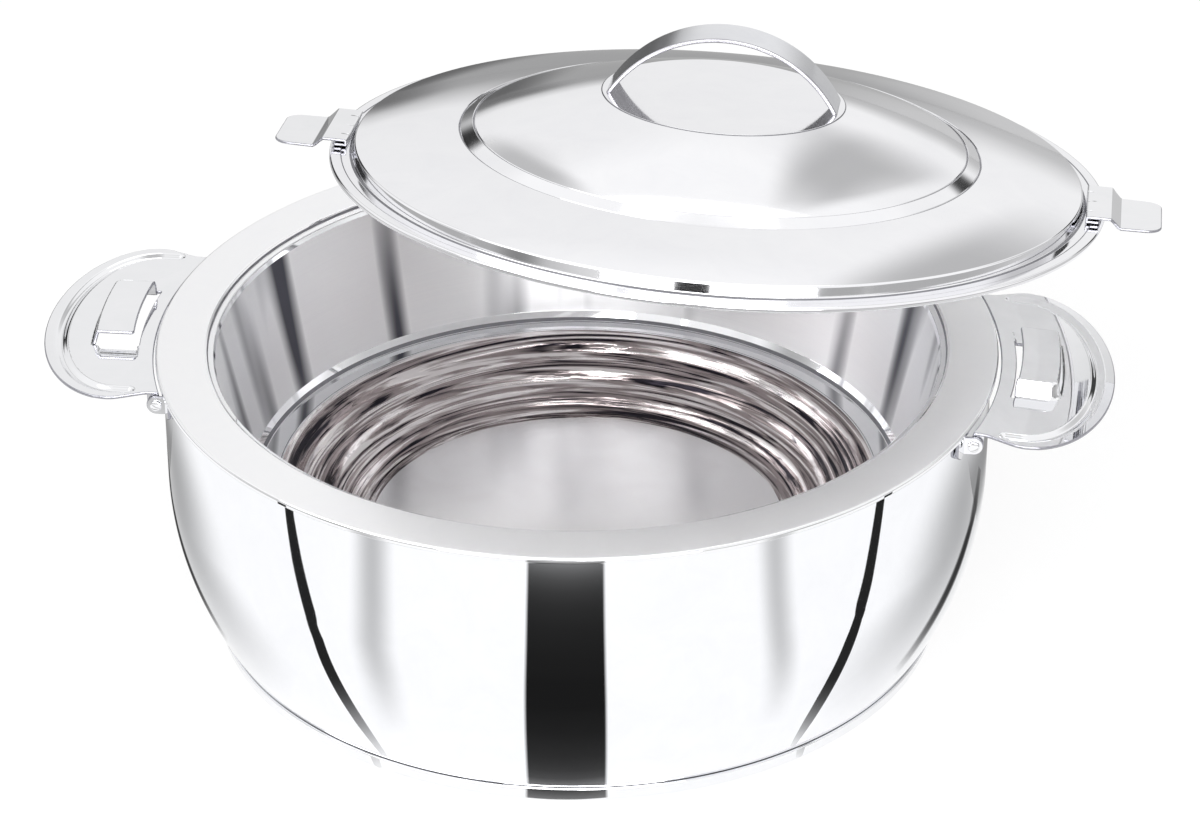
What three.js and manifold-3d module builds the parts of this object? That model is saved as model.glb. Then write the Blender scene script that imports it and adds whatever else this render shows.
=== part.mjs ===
// Insulated chapati casserole: a double-walled steel bowl with two side handles that fold down,
// and a lift-off insulated lid whose two tongues lock under the handles by a short turn.
// Millimetres, +Z up. The origin is on the bowl's axis, in the plane that its foot stands on,
// and the handles lie along X. The lid is modelled where it lies on the bowl, then placed as it
// is held: lifted, moved aside and leaning.
import * as THREE from "three";
import { mergeVertices } from "three/addons/utils/BufferGeometryUtils.js";
import Module from "manifold-3d";

const wasm = await Module();
wasm.setup();

// Sheet steel and fits
const bowlSheet = 1; // liner, shell and base cover
const lidSheet = 1; // lid shell
const lidLinerSheet = 0.8;
const fit = 0.3; // gap between pieces that lie on each other
const pinFit = 0.12; // gap round a rivet's shank
const overrun = 1; // how far a cut runs past what it cuts

// Bowl
const bodyRadius = 142.6; // straight part of the outer shell
const rimOverhang = 2.4; // the rim stands out over the shell
const rimWidth = 20.3; // flat ring from the rim's edge to the mouth
const rimHeight = 106.2; // top of the rim's outer edge
const rimFall = 1; // the rim dips this much towards the mouth
const rimRound = 0.8;
const hemDepth = 2; // down-turned edge of the rim
const mouthRound = 2.2;
const kneeShare = 0.518; // of the rim's height: below this the shell curves in
const tuckIn = 18.8; // how much narrower the shell would be at the ground
const tuckExponent = 1.85;
const shellFlangeWidth = 27.3; // the shell's bottom turns in and leaves a round opening

const rimRadius = bodyRadius + rimOverhang;
const mouthRadius = rimRadius - rimWidth;
const kneeHeight = rimHeight * kneeShare;

// Liner, below the mouth
const ledgeInset = 11.7; // the wall's foot stands this far inside the mouth
const ledgeWidth = 8;
const ledgeShare = 0.48; // height of the ledge, of the rim's height
const beadRise = 3;
const beadWidth = 1.4;
const floorRadiusShare = 0.7333; // of the ledge's inner edge
const floorHeightShare = 0.2966; // of the rim's height
// The wall below the ledge comes down in pressed waves: share outwards, share upwards.
const waveShares = [[0.08, 0.04], [0.2, 0.25], [0.38, 0.34], [0.5, 0.58], [0.7, 0.67], [0.82, 0.92]];

const ledgeRadius = mouthRadius - ledgeInset;
const ledgeHeight = rimHeight * ledgeShare;
const floorRadius = (ledgeRadius - ledgeWidth) * floorRadiusShare;
const floorHeight = rimHeight * floorHeightShare;

// Base cover
const footRise = 5.5;
const footStep = 0.1; // the cover is narrower than the shell's end
const footSwell = 0.7; // the cover's wall leans out by this
const footRound = 1.4;

const seamHeight = footRise + fit; // underside of the shell's bottom flange
const shellFootRadius = shellRadiusAt(seamHeight);
const shellOpeningRadius = shellFootRadius - shellFlangeWidth;
const footRadius = shellFootRadius - footStep;

// Side handles, seen along X from the bowl's axis
const handleDepth = 39.8; // how far it stands out from the rim
const handleGap = 0.6; // plate to rim edge
const handleDrop = 2.2; // plate's top below the rim
const handleSheet = 1.2;
const handleNeckHalfWidth = 49.1;
const handleNeckLength = 4; // from the pivot to where the sides spread
const handleSpread = 4.9; // on each side
const handleEndShare = 0.2085; // of the depth: where the rounded end begins
const grooveInset = 6;
const grooveWidth = 3.6;
const grooveDepth = 1.1;
const grooveSetback = 1; // from the rim to the groove's ends

const handleHalfWidth = handleNeckHalfWidth + handleSpread;
const handleReach = rimRadius + handleDepth;
const handleArcCentre = rimRadius + handleDepth * handleEndShare;
const grooveStart = rimRadius + grooveSetback;

// Raised bridge that the lid's tongue slides under
const bridgeNearShare = 0.191; // of the handle's depth
const bridgeFarShare = 0.5025;
const bridgeHalfLength = 18.5;
const bridgeSlope = 2;
const bridgeEndSlope = 2.4;
const slotMargin = 2; // the window runs this far past the bridge, towards the bowl
const tonguePlay = 0.9; // height left over a tongue that is under its bridge
const slotOverlength = 1.5; // the window's inner strip runs past the bridge's closed end
const leadInLength = 6;
const leadInDepth = 0.5;

const bridgeNear = rimRadius + handleDepth * bridgeNearShare;
const bridgeFar = rimRadius + handleDepth * bridgeFarShare;
const slotNear = bridgeNear - slotMargin;

// Handle hinge
const pivotStandOff = 3.91; // pivot from the shell's wall, measured beside the lug
const pivotDrop = 6.5; // pivot below the rim's top
const earRadius = 3.3;
const earSheet = 1.2;
const earNeckSetback = 0.4; // the ear's neck begins this far behind the pivot
const lugSheet = 1.2;
const rivetRadius = 1.3;
const rivetHeadRadius = 2;
const rivetHeadRise = 0.9;
const rivetTailRadius = 1.9;
const rivetTailRise = 0.7;
const footPlateLength = 5.6;
const footPlateDrop = 2.8; // its top below the rim's
const footPlateHeight = 6.2;
const footPlatePoint = 1.8;
const rightHandleDroopDegrees = 5.3; // the right handle hangs this far below level

const wallRadius = bodyRadius + fit;
const earInnerFace = handleNeckHalfWidth - earSheet; // across the handle, from its middle
const lugFace = earInnerFace + earSheet + fit;
const lugRoot = Math.sqrt(wallRadius ** 2 - lugFace ** 2); // where the lug meets the wall
const pivotRadius = lugRoot + pivotStandOff;
const handleNeckEnd = pivotRadius + handleNeckLength;

// Lid, as heights over the plane of its flange's underside
const lidInset = 9.4; // the lid's edge lies this far inside the rim's
const lidHemRound = 0.8;
const flangeWidth = 8.5;
const flangeTop = 2.1;
const shoulderHeight = 6.2;
const shoulderLean = 0.5; // the wall under the shoulder stands out by this at its foot
const stepRadiusShare = 0.7152; // foot of the step between the two sloping rings, of the shoulder's radius
const stepRun = 4.8;
const stepFootShare = 0.2913; // of the height from shoulder to disc
const stepHeadShare = 0.3957;
const discRadiusShare = 0.3446; // of the shoulder's radius
const discHeight = 29.2;
const discRound = 0.9;
const crownRise = 0.7; // how far the sloping rings bulge
const dishDepth = 7; // the lid's underside hangs into the mouth
const dishClearance = 3.7; // to the mouth, all round
const dishSlope = 18;

const lidRadius = rimRadius - lidInset;
const shoulderRadius = lidRadius - flangeWidth;
const stepOuterRadius = shoulderRadius * stepRadiusShare;
const stepOuterHeight = shoulderHeight + (discHeight - shoulderHeight) * stepFootShare;
const stepInnerRadius = stepOuterRadius - stepRun;
const stepInnerHeight = shoulderHeight + (discHeight - shoulderHeight) * stepHeadShare;
const discRadius = shoulderRadius * discRadiusShare;
const dishEdgeRadius = mouthRadius - dishClearance;
const dishRadius = dishEdgeRadius - dishSlope;
const lidLinerRadius = lidRadius - lidSheet - fit;

// Lid handle: a strap bent to an arc that stands on the disc
const strapRise = 23;
const strapInset = 3.7; // its feet stand this far inside the disc's edge
const strapWidth = 19;
const strapSheet = 1.5;

const strapSpan = discRadius - strapInset;
const strapRadius = (strapSpan ** 2 + strapRise ** 2) / (2 * strapRise);
const strapTop = discHeight + fit + strapRise;

// Lid clips: foot, riser, plate, step and tongue
const clipWidth = 34.5;
const clipSheet = 1;
const clipStandOff = 1.5; // riser's outer face from the shoulder
const clipFootLength = 4.8;
const clipPlateTop = 5;
const clipOverhang = 1.8; // the plate runs this far past the lid's edge
const clipStepRun = 3.4;
const tongueTop = 1.6;
const tongueCatch = 2.4; // how much of the tongue lies under the bridge
const tongueCorner = 5.5;

const clipRiser = shoulderRadius + clipStandOff;
const clipFootEnd = clipRiser + clipFootLength;
const clipStepStart = lidRadius + clipOverhang;
const clipStepEnd = clipStepStart + clipStepRun;
const tongueReach = bridgeNear + tongueCatch;

// Where the lid is held: its flange's centre over the place where it would lie
const lidAside = 44.05;
const lidBehind = 51.03;
const lidLift = 38.5;
const lidLeanDegrees = 9.114;
const lidLeansTowardsDegrees = 70.35;
const lidTurnDegrees = -1.5;

const around = 48; // flats round a turned piece
const aroundSmall = 20;
const curveSteps = 12;

const mirrorSteel = { color: 0xdcdddf, roughness: 0.08, metalness: 1 };
const satinSteel = { color: 0xc9cacc, roughness: 0.3, metalness: 1 };
const foamFinish = { color: 0xe9dcae, roughness: 0.95, metalness: 0 };

const at = (x, y) => new THREE.Vector2(x, y);
const radians = THREE.MathUtils.degToRad;

// Points of an arc, both ends included, angles in degrees.
function arc(cx, cy, radius, from, to, steps) {
  const points = [];
  for (let i = 0; i <= steps; i++) {
    const a = radians(from + ((to - from) * i) / steps);
    points.push(at(cx + radius * Math.cos(a), cy + radius * Math.sin(a)));
  }
  return points;
}

// Points from one place to another, bulging to the left of the way by rise.
function bulge(from, to, rise, steps) {
  const way = to.clone().sub(from);
  const side = at(-way.y, way.x).normalize();
  const points = [];
  for (let i = 1; i < steps; i++) {
    const t = i / steps;
    points.push(from.clone().addScaledVector(way, t).addScaledVector(side, 4 * t * (1 - t) * rise));
  }
  return points;
}

// The same line moved sideways by a distance: to the right of its way, or left where negative.
function besideLine(line, distance) {
  return line.map((point, i) => {
    const before = i > 0 ? point.clone().sub(line[i - 1]).normalize() : null;
    const after = i < line.length - 1 ? line[i + 1].clone().sub(point).normalize() : null;
    const a = before ?? after;
    const b = after ?? before;
    const normal = at(a.y + b.y, -a.x - b.x).normalize();
    const stretch = 1 / Math.max(normal.dot(at(a.y, -a.x)), 0.5);
    return point.clone().addScaledVector(normal, distance * stretch);
  });
}

// A closed outline of sheet with one face on the line.
function sheetOutline(line, thickness) {
  return [...line, ...besideLine(line, thickness).reverse()];
}

// A closed outline turned round the Z axis.
function turned(outline, sides) {
  const points = outline.map((p) => at(Math.max(p.x, 0), p.y));
  const area = points.reduce((sum, p, i) => sum + p.cross(points[(i + 1) % points.length]), 0);
  if (area < 0) points.reverse();
  const geometry = new THREE.LatheGeometry([...points, points[0].clone()], sides);
  geometry.rotateX(Math.PI / 2);
  return geometry;
}

// A flat shape given as (across, up), standing in the XZ plane and thick along Y.
function upright(shape, low, high) {
  const geometry = new THREE.ExtrudeGeometry(shape, {
    depth: high - low, bevelEnabled: false, curveSegments: curveSteps,
  });
  geometry.rotateX(Math.PI / 2);
  geometry.translate(0, high, 0);
  return geometry;
}

// A flat shape given as (x, y), between two heights.
function flat(shape, low, high) {
  const geometry = new THREE.ExtrudeGeometry(shape, {
    depth: high - low, bevelEnabled: false, curveSegments: curveSteps,
  });
  geometry.translate(0, 0, low);
  return geometry;
}

// A block with a rectangle [x0, x1, y0, y1] at the bottom and another at the top.
function block(bottom, low, top, high) {
  const ring = ([x0, x1, y0, y1], z) => [x0, y0, z, x1, y0, z, x1, y1, z, x0, y1, z];
  const geometry = new THREE.BufferGeometry();
  const position = new Float32Array([...ring(bottom, low), ...ring(top, high)]);
  geometry.setAttribute("position", new THREE.BufferAttribute(position, 3));
  const faces = [0, 2, 1, 0, 3, 2, 4, 5, 6, 4, 6, 7];
  for (let i = 0; i < 4; i++) {
    const next = (i + 1) % 4;
    faces.push(i, next, 4 + next, i, 4 + next, 4 + i);
  }
  geometry.setIndex(faces);
  return geometry;
}

function solid(geometry) {
  const bare = new THREE.BufferGeometry().setAttribute("position", geometry.getAttribute("position").clone());
  if (geometry.index) bare.setIndex(geometry.index.clone());
  const merged = mergeVertices(bare, 1e-4);
  return new wasm.Manifold(new wasm.Mesh({
    numProp: 3,
    vertProperties: new Float32Array(merged.getAttribute("position").array),
    triVerts: new Uint32Array(merged.index.array),
  }));
}

function geometryOf(made) {
  const mesh = made.getMesh();
  const geometry = new THREE.BufferGeometry();
  geometry.setAttribute("position", new THREE.BufferAttribute(new Float32Array(mesh.vertProperties), 3));
  geometry.setIndex(new THREE.BufferAttribute(new Uint32Array(mesh.triVerts), 1));
  geometry.computeVertexNormals();
  return geometry;
}

function named(name, geometry, finish) {
  const mesh = new THREE.Mesh(geometry, new THREE.MeshStandardMaterial(finish));
  mesh.name = name;
  return mesh;
}

// Bowl

// Height of the rim's top at a radius.
function rimTopAt(radius) {
  return rimHeight - (rimFall * (rimRadius - radius)) / (rimRadius - mouthRadius);
}

// The liner's upper face from the axis out to the mouth.
function linerWallLine() {
  const cavityTop = ledgeRadius - ledgeWidth;
  const line = [at(0, floorHeight), at(floorRadius, floorHeight)];
  for (const [outwards, upwards] of waveShares) {
    line.push(at(
      floorRadius + outwards * (cavityTop - floorRadius),
      floorHeight + upwards * (ledgeHeight - floorHeight),
    ));
  }
  line.push(at(cavityTop, ledgeHeight), at(ledgeRadius, ledgeHeight));
  line.push(at(ledgeRadius + beadWidth, ledgeHeight + beadRise));
  line.push(...arc(
    mouthRadius + mouthRound, rimTopAt(mouthRadius + mouthRound) - mouthRound, mouthRound, 180, 90, 3,
  ));
  return line;
}

function innerLiner() {
  const line = linerWallLine();
  line.push(...arc(rimRadius - rimRound, rimHeight - rimRound, rimRound, 90, 0, 2));
  line.push(at(rimRadius, rimHeight - hemDepth));
  return turned(sheetOutline(line, bowlSheet), around);
}

function shellRadiusAt(height) {
  const below = Math.max(kneeHeight - height, 0) / kneeHeight;
  return bodyRadius - tuckIn * Math.pow(below, tuckExponent);
}

// The shell's outer face from the rim down to its bottom flange.
function shellWallLine() {
  const line = [at(bodyRadius, rimTopAt(bodyRadius) - bowlSheet - fit)];
  const steps = 7;
  for (let i = 0; i <= steps; i++) {
    const height = kneeHeight + ((seamHeight - kneeHeight) * i) / steps;
    line.push(at(shellRadiusAt(height), height));
  }
  return line;
}

function outerShell() {
  const line = shellWallLine();
  line.push(at(shellOpeningRadius, seamHeight));
  return turned(sheetOutline(line, bowlSheet), around);
}

function baseCover() {
  const line = [
    at(0, 0), ...arc(footRadius - footRound, footRound, footRound, -90, -10, 3),
    at(footRadius + footSwell, footRise),
  ];
  const outline = sheetOutline(line, -bowlSheet);
  outline[line.length].y = footRise;
  return turned(outline, around);
}

// The foam fills the room between liner, shell and base cover.
function bowlFoam() {
  const gap = bowlSheet + fit;
  const inside = besideLine(linerWallLine(), gap);
  const outside = besideLine(shellWallLine(), gap);
  outside[0].y = rimTopAt(bodyRadius) - gap;
  const floor = seamHeight + gap;
  const wall = outside.filter((p) => p.y > floor);
  const above = wall[wall.length - 1];
  const below = outside[wall.length];
  const corner = above.clone().lerp(below, (above.y - floor) / (above.y - below.y));
  const throat = shellOpeningRadius - fit;
  return turned([
    ...inside, ...wall, corner, at(throat, floor), at(throat, gap), at(0, gap),
  ], around);
}

// Side handles

const plateTop = rimHeight - handleDrop;
const plateBottom = plateTop - handleSheet;
const pivotHeight = rimHeight - pivotDrop;
const seatHeight = rimTopAt(lidRadius) + fit;
const bridgeTop = seatHeight + tongueTop + tonguePlay + handleSheet;

function handlePlateShape() {
  const inner = rimRadius + handleGap;
  const swing = Math.asin(handleNeckHalfWidth / inner);
  const neckX = inner * Math.cos(swing);
  const shape = new THREE.Shape();
  shape.moveTo(neckX, -handleNeckHalfWidth);
  shape.lineTo(handleNeckEnd, -handleNeckHalfWidth);
  shape.lineTo(handleArcCentre, -handleHalfWidth);
  shape.absellipse(
    handleArcCentre, 0, handleReach - handleArcCentre, handleHalfWidth, -Math.PI / 2, Math.PI / 2, false, 0,
  );
  shape.lineTo(handleNeckEnd, handleNeckHalfWidth);
  shape.lineTo(neckX, handleNeckHalfWidth);
  shape.absarc(0, 0, inner, swing, -swing, true);
  return shape;
}

// The band of the pressed groove, widened by a margin on each side.
function grooveShape(margin) {
  const half = grooveWidth / 2 + margin;
  const reach = handleReach - handleArcCentre - grooveInset;
  const side = handleHalfWidth - grooveInset;
  const start = grooveStart - margin;
  const shape = new THREE.Shape();
  shape.moveTo(start, -side - half);
  shape.absellipse(handleArcCentre, 0, reach + half, side + half, -Math.PI / 2, Math.PI / 2, false, 0);
  shape.lineTo(start, side + half);
  shape.lineTo(start, side - half);
  shape.absellipse(handleArcCentre, 0, reach - half, side - half, Math.PI / 2, -Math.PI / 2, true, 0);
  shape.lineTo(start, half - side);
  shape.closePath();
  return shape;
}

// The bridge is raised from the plate along its far side and one end; the other two sides are open.
function bridge() {
  const far = bridgeFar + bridgeSlope;
  const end = -bridgeHalfLength - bridgeEndSlope;
  const outer = solid(block(
    [bridgeNear, far, end, bridgeHalfLength], plateBottom,
    [bridgeNear, bridgeFar, -bridgeHalfLength, bridgeHalfLength], bridgeTop,
  ));
  const inner = solid(block(
    [bridgeNear - overrun, far - handleSheet, end + handleSheet, bridgeHalfLength + overrun],
    plateBottom - overrun,
    [bridgeNear - overrun, bridgeFar - handleSheet, handleSheet - bridgeHalfLength, bridgeHalfLength + overrun],
    bridgeTop - handleSheet,
  ));
  return outer.subtract(inner);
}

function bridgeWindow() {
  const low = plateBottom - overrun;
  const high = plateTop + overrun;
  const end = -bridgeHalfLength - bridgeEndSlope;
  const under = [slotNear, bridgeFar + bridgeSlope - handleSheet, end + handleSheet, bridgeHalfLength];
  const strip = [slotNear, bridgeNear, end - slotOverlength, bridgeHalfLength];
  return solid(block(under, low, under, high)).add(solid(block(strip, low, strip, high)));
}

function leadIn() {
  const sides = [slotNear, bridgeFar, bridgeHalfLength - overrun, bridgeHalfLength + leadInLength];
  return solid(block(sides, plateTop - leadInDepth, sides, plateTop + overrun));
}

function earShape() {
  const top = plateTop - handleSheet / 2;
  const shape = new THREE.Shape();
  shape.moveTo(pivotRadius - earRadius, pivotHeight);
  shape.absarc(pivotRadius, pivotHeight, earRadius, Math.PI, 2 * Math.PI, false);
  shape.lineTo(pivotRadius + earRadius, top);
  shape.lineTo(pivotRadius - earNeckSetback, top);
  shape.closePath();
  return shape;
}

function roundHole(radius) {
  const hole = new THREE.Path();
  hole.absarc(pivotRadius, pivotHeight, radius, 0, 2 * Math.PI, true);
  return hole;
}

// Radius of a polygon's corners whose flats keep clear of a shank.
const pinHoleRadius = (rivetRadius + pinFit) / Math.cos(Math.PI / (2 * curveSteps));

function handleEar(side) {
  const shape = earShape();
  shape.holes.push(roundHole(pinHoleRadius));
  const low = side > 0 ? earInnerFace : -earInnerFace - earSheet;
  return solid(upright(shape, low, low + earSheet));
}

function sideHandle() {
  let made = solid(flat(handlePlateShape(), plateBottom, plateTop));
  made = made.add(solid(flat(grooveShape(handleSheet), plateBottom - grooveDepth, plateBottom + overrun / 2)));
  made = made.subtract(solid(flat(grooveShape(0), plateTop - grooveDepth, plateTop + overrun)));
  made = made.subtract(bridgeWindow()).subtract(leadIn()).add(bridge());
  for (const side of [-1, 1]) made = made.add(handleEar(side));
  return geometryOf(made);
}

// A bracket on the shell: a foot plate along the wall and a lug that stands out beside the ear.
function bracket(side) {
  const shape = new THREE.Shape();
  const lugInner = lugRoot + fit;
  shape.moveTo(lugInner, pivotHeight - earRadius);
  shape.absarc(pivotRadius, pivotHeight, earRadius, -Math.PI / 2, Math.PI / 2, false);
  shape.lineTo(lugInner, pivotHeight + earRadius);
  shape.closePath();
  shape.holes.push(roundHole(pinHoleRadius));
  const lug = solid(upright(shape, lugFace, lugFace + lugSheet));
  const half = footPlateLength / 2;
  const top = rimHeight - footPlateDrop;
  const bottom = top - footPlateHeight;
  const plate = new THREE.Shape([
    at(-half, top), at(-half, bottom), at(0, bottom - footPlatePoint), at(half, bottom), at(half, top),
  ]);
  const foot = upright(plate, wallRadius, wallRadius + lugSheet);
  const towards = Math.asin((lugFace + half) / wallRadius);
  foot.rotateZ(towards - Math.PI / 2);
  const made = geometryOf(lug.add(solid(foot)));
  if (side < 0) mirrorAcrossX(made);
  return made;
}

// Turns a geometry into its mirror image across the XZ plane, with its faces still out.
function mirrorAcrossX(geometry) {
  geometry.scale(1, -1, 1);
  const corners = geometry.index.array;
  for (let i = 0; i < corners.length; i += 3) {
    [corners[i + 1], corners[i + 2]] = [corners[i + 2], corners[i + 1]];
  }
  geometry.computeVertexNormals();
}

function rivet(side) {
  const tail = earInnerFace - fit;
  const head = lugFace + lugSheet + fit;
  const outline = [
    at(0, tail - rivetTailRise), at(rivetTailRadius, tail - rivetTailRise), at(rivetTailRadius, tail),
    at(rivetRadius, tail), at(rivetRadius, head), at(rivetHeadRadius, head),
    ...bulge(at(rivetHeadRadius, head), at(0, head + rivetHeadRise), -rivetHeadRise / 4, 3),
    at(0, head + rivetHeadRise),
  ];
  const geometry = turned(outline, aroundSmall);
  geometry.rotateX(side > 0 ? -Math.PI / 2 : Math.PI / 2);
  geometry.translate(pivotRadius, 0, pivotHeight);
  return geometry;
}

function handleSet(label, turn, droopDegrees) {
  const set = new THREE.Group();
  const handle = sideHandle();
  handle.translate(-pivotRadius, 0, -pivotHeight);
  handle.rotateY(radians(droopDegrees));
  handle.translate(pivotRadius, 0, pivotHeight);
  set.add(named(`handle_${label}`, handle, mirrorSteel));
  for (const [end, side] of [["front", -1], ["back", 1]]) {
    const across = turn === 0 ? side : -side;
    set.add(named(`bracket_${label}_${end}`, bracket(across), satinSteel));
    set.add(named(`rivet_${label}_${end}`, rivet(across), mirrorSteel));
  }
  set.rotation.z = turn;
  return set;
}

// Lid

// The lid shell's upper face from the axis to the foot of its shoulder.
function lidTopLine() {
  const disc = at(discRadius, discHeight - discRound / 2);
  const inner = at(stepInnerRadius, stepInnerHeight);
  const outer = at(stepOuterRadius, stepOuterHeight);
  const shoulder = at(shoulderRadius, shoulderHeight);
  return [
    at(0, discHeight), at(discRadius - discRound, discHeight), disc,
    ...bulge(disc, inner, crownRise, 3), inner,
    outer, ...bulge(outer, shoulder, crownRise, 3), shoulder,
    at(shoulderRadius + shoulderLean, flangeTop + lidHemRound),
  ];
}

function lidShell() {
  const line = [
    ...lidTopLine(), at(shoulderRadius + shoulderLean + lidHemRound, flangeTop),
    ...arc(lidRadius - lidHemRound, flangeTop - lidHemRound, lidHemRound, 90, 0, 2),
    at(lidRadius, fit / 2),
  ];
  return turned(sheetOutline(line, lidSheet), around);
}

function lidDishLine() {
  return [at(0, -dishDepth), at(dishRadius, -dishDepth), at(dishEdgeRadius, 0), at(lidLinerRadius, 0)];
}

function lidLiner() {
  return turned(sheetOutline(lidDishLine(), -lidLinerSheet), around);
}

function lidFoam() {
  const top = besideLine(lidTopLine(), lidSheet + fit).slice(0, -1);
  const dish = besideLine(lidDishLine().slice(0, 3), -lidLinerSheet - fit);
  const floor = lidLinerSheet + fit;
  const edge = shoulderRadius - lidSheet - fit;
  dish[2] = at(dishEdgeRadius, floor);
  top[top.length - 1].x = edge;
  return turned([...top, at(edge, floor), ...dish.reverse()], around);
}

function lidStrap() {
  const centre = strapTop - strapRadius;
  const footing = discHeight + fit - centre;
  const inner = strapRadius - strapSheet;
  const shape = new THREE.Shape();
  const outerStart = Math.asin(footing / strapRadius);
  const innerStart = Math.asin(footing / inner);
  shape.absarc(0, centre, strapRadius, outerStart, Math.PI - outerStart, false);
  shape.absarc(0, centre, inner, Math.PI - innerStart, innerStart, true);
  shape.closePath();
  return upright(shape, -strapWidth / 2, strapWidth / 2);
}

function lidClip() {
  const foot = flangeTop + fit;
  const line = [
    at(clipFootEnd, foot), at(clipRiser, foot), at(clipRiser, clipPlateTop), at(clipStepStart, clipPlateTop),
    at(clipStepEnd, tongueTop), at(tongueReach, tongueTop),
  ];
  const half = clipWidth / 2;
  const bent = solid(upright(new THREE.Shape(sheetOutline(line, clipSheet)), -half, half));
  const plan = new THREE.Shape();
  plan.moveTo(clipRiser - overrun, -half - overrun);
  plan.lineTo(clipStepStart, -half - overrun);
  plan.lineTo(clipStepStart, -half);
  plan.absarc(tongueReach - tongueCorner, tongueCorner - half, tongueCorner, -Math.PI / 2, 0, false);
  plan.absarc(tongueReach - tongueCorner, half - tongueCorner, tongueCorner, 0, Math.PI / 2, false);
  plan.lineTo(clipStepStart, half);
  plan.lineTo(clipStepStart, half + overrun);
  plan.lineTo(clipRiser - overrun, half + overrun);
  plan.closePath();
  return geometryOf(bent.intersect(solid(flat(plan, -overrun, clipPlateTop + overrun))));
}

function lid() {
  const clips = new THREE.Group();
  clips.add(named("lid_clip_right", lidClip(), mirrorSteel));
  const left = named("lid_clip_left", lidClip(), mirrorSteel);
  left.rotation.z = Math.PI;
  clips.add(left);
  const whole = new THREE.Group();
  whole.add(
    named("lid_shell", lidShell(), mirrorSteel), named("lid_liner", lidLiner(), satinSteel),
    named("lid_foam", lidFoam(), foamFinish), named("lid_strap", lidStrap(), mirrorSteel), clips,
  );
  const towards = radians(lidLeansTowardsDegrees);
  const leanAxis = new THREE.Vector3(-Math.sin(towards), Math.cos(towards), 0);
  whole.quaternion.setFromAxisAngle(leanAxis, radians(lidLeanDegrees));
  whole.rotateZ(radians(lidTurnDegrees));
  whole.position.set(lidAside, lidBehind, seatHeight + lidLift);
  return whole;
}

const casserole = new THREE.Group();
casserole.add(
  named("inner_liner", innerLiner(), satinSteel), named("outer_shell", outerShell(), mirrorSteel),
  named("base_cover", baseCover(), satinSteel), named("bowl_foam", bowlFoam(), foamFinish),
  handleSet("right", 0, rightHandleDroopDegrees), handleSet("left", Math.PI, 0), lid(),
);

export default casserole;
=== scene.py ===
import math

import bpy
import numpy as np
from mathutils import Matrix, Vector, kdtree
from mathutils.geometry import delaunay_2d_cdt


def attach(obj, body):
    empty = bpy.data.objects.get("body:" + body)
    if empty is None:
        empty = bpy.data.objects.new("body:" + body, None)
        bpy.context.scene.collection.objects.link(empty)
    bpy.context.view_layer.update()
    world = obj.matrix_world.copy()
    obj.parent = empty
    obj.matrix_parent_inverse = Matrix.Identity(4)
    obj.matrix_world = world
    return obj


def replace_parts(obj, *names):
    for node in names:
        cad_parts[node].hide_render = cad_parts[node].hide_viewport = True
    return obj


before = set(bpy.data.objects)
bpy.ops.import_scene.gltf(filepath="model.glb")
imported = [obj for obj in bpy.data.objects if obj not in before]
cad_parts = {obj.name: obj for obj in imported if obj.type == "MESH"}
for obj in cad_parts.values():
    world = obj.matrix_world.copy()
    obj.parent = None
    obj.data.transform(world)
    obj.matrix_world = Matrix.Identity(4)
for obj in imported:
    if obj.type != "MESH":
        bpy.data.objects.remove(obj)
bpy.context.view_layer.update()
mm = 0.001
print("frame loaded:", len(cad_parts), "nodes")

# outlines

fillet = {"leastTurn": 0.02, "tangentShare": 0.49, "stepDegrees": 8, "leastRadius": 0.15}
onAxisBelow = 0.01  # mm


def filleted(corners, closed):
    # corners are (across, up, radius); gives (across, up, and the unit vector to the right of the way)
    made = []
    last = len(corners) - 1
    for i, (x, z, radius) in enumerate(corners):
        here = Vector((x, z))
        before = Vector(corners[i - 1][:2])
        after = Vector(corners[(i + 1) % len(corners)][:2])
        if not closed and i == 0:
            before = here * 2 - after
        if not closed and i == last:
            after = here * 2 - before
        lengthIn, lengthOut = (here - before).length, (after - here).length
        wayIn, wayOut = (here - before).normalized(), (after - here).normalized()
        turn = math.atan2(wayIn.x * wayOut.y - wayIn.y * wayOut.x, wayIn.dot(wayOut))
        right = Vector((wayIn.y, -wayIn.x))
        if radius == 0 or abs(turn) < fillet["leastTurn"]:
            middle = (right + Vector((wayOut.y, -wayOut.x))).normalized()
            made.append((x, z, middle.x, middle.y))
            continue
        half = math.tan(abs(turn) / 2)
        tangent = min(radius * half, fillet["tangentShare"] * min(lengthIn, lengthOut))
        side = math.copysign(tangent / half, turn)
        centre = here - wayIn * tangent - right * side
        steps = max(2, math.ceil(abs(turn) / math.radians(fillet["stepDegrees"])))
        for step in range(steps + 1):
            a = turn * step / steps
            normal = Vector((right.x * math.cos(a) - right.y * math.sin(a),
                             right.x * math.sin(a) + right.y * math.cos(a)))
            point = centre + normal * side
            made.append((point.x, point.y, normal.x, normal.y))
    return made


def beside(corners, distance):
    # the same line moved to the right of its way; outer bends get the larger radius
    made = []
    last = len(corners) - 1
    for i, (x, z, radius) in enumerate(corners):
        here = Vector((x, z))
        wayIn = (here - Vector(corners[i - 1][:2])).normalized() if i > 0 else None
        wayOut = (Vector(corners[i + 1][:2]) - here).normalized() if i < last else None
        a, b = wayIn or wayOut, wayOut or wayIn
        normal = Vector((a.y + b.y, -a.x - b.x)).normalized()
        stretch = 1 / max(normal.dot(Vector((a.y, -a.x))), 0.5)
        point = here + normal * distance * stretch
        turn = a.x * b.y - a.y * b.x
        grown = radius + math.copysign(distance, turn * distance)
        made.append((point.x, point.y, max(grown, fillet["leastRadius"]) if radius else 0))
    return made


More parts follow.
